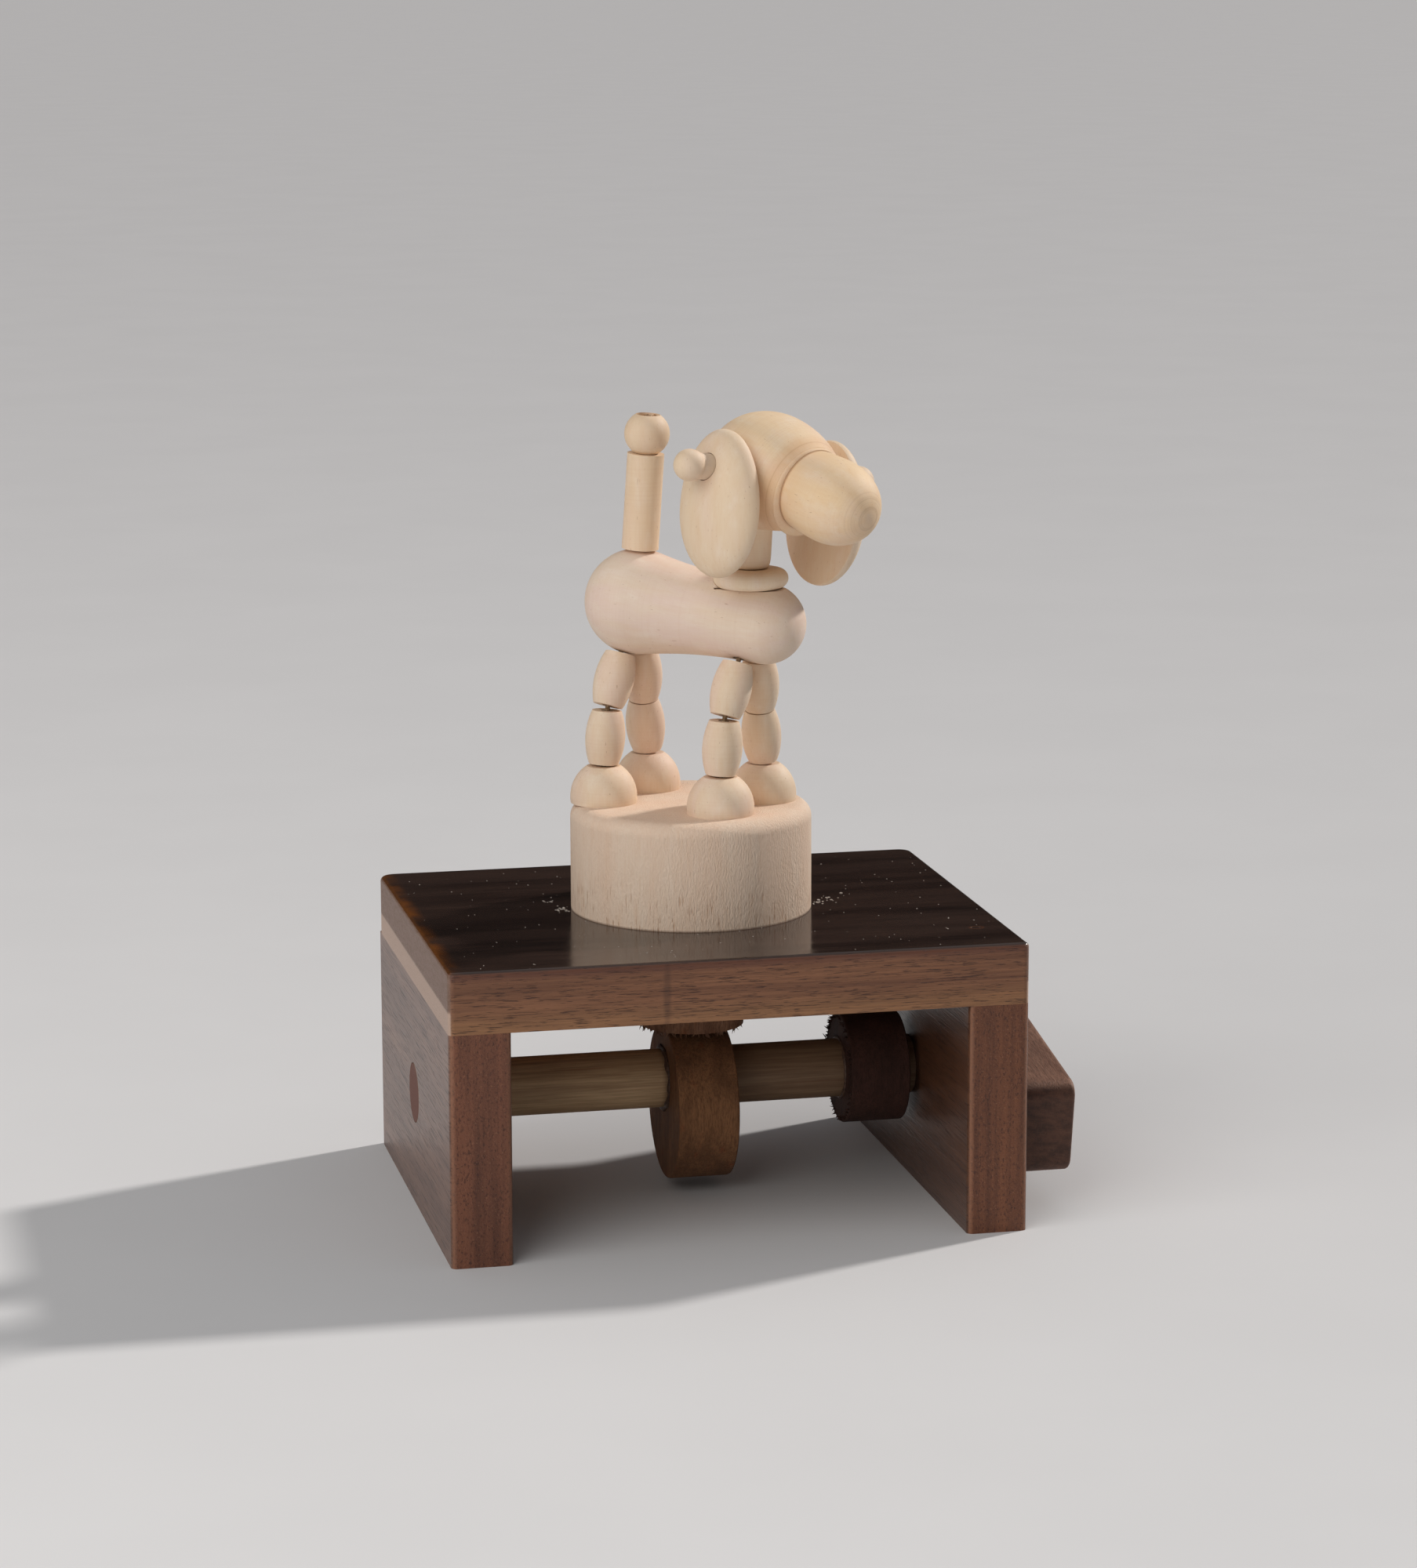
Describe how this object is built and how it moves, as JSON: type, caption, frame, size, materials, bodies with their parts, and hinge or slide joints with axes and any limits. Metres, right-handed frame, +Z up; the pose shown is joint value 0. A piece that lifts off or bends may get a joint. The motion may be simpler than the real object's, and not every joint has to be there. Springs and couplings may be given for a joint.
{
  "type": "wooden crank automaton",
  "caption": "Wooden push-up dog on a drum, on a small table with a crank: turning the crank lifts a cam-driven plug and the dog leans forward.",
  "frame": {"origin": "under the middle of the whole toy's box, on the floor", "axes": "+X along the crank shaft towards the crank arm, +Y to the back, +Z up"},
  "size_m": [0.105, 0.075, 0.1313],
  "materials": {
    "stained_board": "dark stained board with a worn lacquer on top",
    "dowel": "sanded dowel, bare",
    "cam_wood": "sawn and sanded, bare",
    "collar_wood": "dark, fuzzy end grain",
    "arm_wood": "sawn, edges eased by hand",
    "plug_wood": "bare",
    "drum_wood": "turned, bare",
    "bead_wood": "turned, bare",
    "string": "twisted cotton",
    "steel_wire": "drawn wire"
  },
  "bodies": {
    "stand": {"table_top": "stained_board", "left_leg": "stained_board", "right_leg": "stained_board", "drum": "drum_wood", "rear_near_foot": "bead_wood", "rear_far_foot": "bead_wood", "front_near_foot": "bead_wood", "front_far_foot": "bead_wood", "foot_strings": "string"},
    "crank": {"crank_shaft": "dowel", "cam": "cam_wood", "collar": "collar_wood", "crank_arm": "arm_wood"},
    "pusher": {"pusher_plug": "plug_wood", "push_button": "drum_wood", "string_knots": "string", "drum_strings": "string", "return_spring": "steel_wire"},
    "torso": {"torso": "bead_wood", "torso_strings": "string"},
    "neck": {"neck_ring": "bead_wood", "neck": "bead_wood", "neck_string": "string"},
    "head": {"cranium": "bead_wood", "muzzle": "bead_wood", "near_ear_peg": "bead_wood", "far_ear_peg": "bead_wood", "head_string": "string"},
    "near_ear": {"near_ear": "bead_wood"},
    "far_ear": {"far_ear": "bead_wood"},
    "tail": {"tail_rod": "bead_wood", "tail_ball": "bead_wood", "tail_string": "string"},
    "rear_near_lower": {"rear_near_lower_leg": "bead_wood", "rear_near_lower_leg_string": "string"},
    "rear_near_upper": {"rear_near_upper_leg": "bead_wood", "rear_near_upper_leg_string": "string"},
    "rear_far_lower": {"rear_far_lower_leg": "bead_wood", "rear_far_lower_leg_string": "string"},
    "rear_far_upper": {"rear_far_upper_leg": "bead_wood", "rear_far_upper_leg_string": "string"},
    "front_near_lower": {"front_near_lower_leg": "bead_wood", "front_near_lower_leg_string": "string"},
    "front_near_upper": {"front_near_upper_leg": "bead_wood", "front_near_upper_leg_string": "string"},
    "front_far_lower": {"front_far_lower_leg": "bead_wood", "front_far_lower_leg_string": "string"},
    "front_far_upper": {"front_far_upper_leg": "bead_wood", "front_far_upper_leg_string": "string"}
  },
  "joints": [
    {"name": "crank_turn", "type": "hinge", "parent": "stand", "child": "crank", "pos_m": [-0.0052, 0, 0.019], "axis": [-1, 0, 0], "range_deg": [0, 180]},
    {"name": "pusher_lift", "type": "slide", "parent": "stand", "child": "pusher", "axis": [0, 0, 1], "range_m": [0, 0.00911], "deforming": ["return_spring", "drum_strings"]},
    {"name": "rear_near_ankle", "type": "hinge", "parent": "stand", "child": "rear_near_lower", "pos_m": [-0.01742, 0.0028, 0.07201], "axis": [0.6361, 0.7716, 0], "range_deg": [0, 22]},
    {"name": "rear_near_knee", "type": "hinge", "parent": "rear_near_lower", "child": "rear_near_upper", "pos_m": [-0.01664, 0.00305, 0.08156], "axis": [0.6361, 0.7716, 0], "range_deg": [0, 12]},
    {"name": "rear_far_ankle", "type": "hinge", "parent": "stand", "child": "rear_far_lower", "pos_m": [-0.00793, 0.0129, 0.07237], "axis": [0.6361, 0.7716, 0], "range_deg": [0, 22]},
    {"name": "rear_far_knee", "type": "hinge", "parent": "rear_far_lower", "child": "rear_far_upper", "pos_m": [-0.00891, 0.01108, 0.08115], "axis": [0.6361, 0.7716, 0], "range_deg": [0, 12]},
    {"name": "front_near_ankle", "type": "hinge", "parent": "stand", "child": "front_near_lower", "pos_m": [-0.00068, -0.011, 0.07201], "axis": [0.6361, 0.7716, 0], "range_deg": [0, 22]},
    {"name": "front_near_knee", "type": "hinge", "parent": "front_near_lower", "child": "front_near_upper", "pos_m": [0.00011, -0.01075, 0.08156], "axis": [0.6361, 0.7716, 0], "range_deg": [0, 12]},
    {"name": "front_far_ankle", "type": "hinge", "parent": "stand", "child": "front_far_lower", "pos_m": [0.00881, -0.0009, 0.07237], "axis": [0.6361, 0.7716, 0], "range_deg": [0, 22]},
    {"name": "front_far_knee", "type": "hinge", "parent": "front_far_lower", "child": "front_far_upper", "pos_m": [0.00784, -0.00272, 0.08115], "axis": [0.6361, 0.7716, 0], "range_deg": [0, 12]},
    {"name": "rear_near_hip", "type": "hinge", "parent": "rear_near_upper", "child": "torso", "pos_m": [-0.01778, 0.00808, 0.09032], "axis": [0.6361, 0.7716, 0], "range_deg": [-34, 0]},
    {"name": "neck_nod", "type": "hinge", "parent": "torso", "child": "neck", "pos_m": [0.007, -0.00838, 0.10215], "axis": [0.6361, 0.7716, 0], "range_deg": [0, 7]},
    {"name": "head_swivel", "type": "hinge", "parent": "neck", "child": "head", "pos_m": [0.00345, -0.00545, 0.11305], "axis": [0, 0, 1], "range_deg": [-33, 33]},
    {"name": "near_ear_swing", "type": "hinge", "parent": "head", "child": "near_ear", "pos_m": [0.00577, -0.00942, 0.1214], "axis": [-0.8528, -0.4983, 0.1564], "range_deg": [-50, 50]},
    {"name": "far_ear_swing", "type": "hinge", "parent": "head", "child": "far_ear", "pos_m": [0.00577, -0.00942, 0.1214], "axis": [0.8528, 0.4983, -0.1564], "range_deg": [-50, 50]},
    {"name": "tail_tip", "type": "hinge", "parent": "torso", "child": "tail", "pos_m": [-0.01465, 0.00946, 0.1074], "axis": [0.6361, 0.7716, 0], "range_deg": [-9, 0]}
  ],
  "couplings": [
    {"joint": "pusher_lift", "follows": "crank_turn", "m_per_rad": 0.0028984},
    {"joint": "rear_near_ankle", "follows": "crank_turn", "ratio": 0.12222},
    {"joint": "rear_near_knee", "follows": "crank_turn", "ratio": 0.06666},
    {"joint": "rear_far_ankle", "follows": "crank_turn", "ratio": 0.12222},
    {"joint": "rear_far_knee", "follows": "crank_turn", "ratio": 0.06666},
    {"joint": "front_near_ankle", "follows": "crank_turn", "ratio": 0.12222},
    {"joint": "front_near_knee", "follows": "crank_turn", "ratio": 0.06666},
    {"joint": "front_far_ankle", "follows": "crank_turn", "ratio": 0.12222},
    {"joint": "front_far_knee", "follows": "crank_turn", "ratio": 0.06666},
    {"joint": "rear_near_hip", "follows": "crank_turn", "ratio": -0.18888},
    {"joint": "neck_nod", "follows": "crank_turn", "ratio": 0.03888},
    {"joint": "tail_tip", "follows": "crank_turn", "ratio": -0.05}
  ]
}
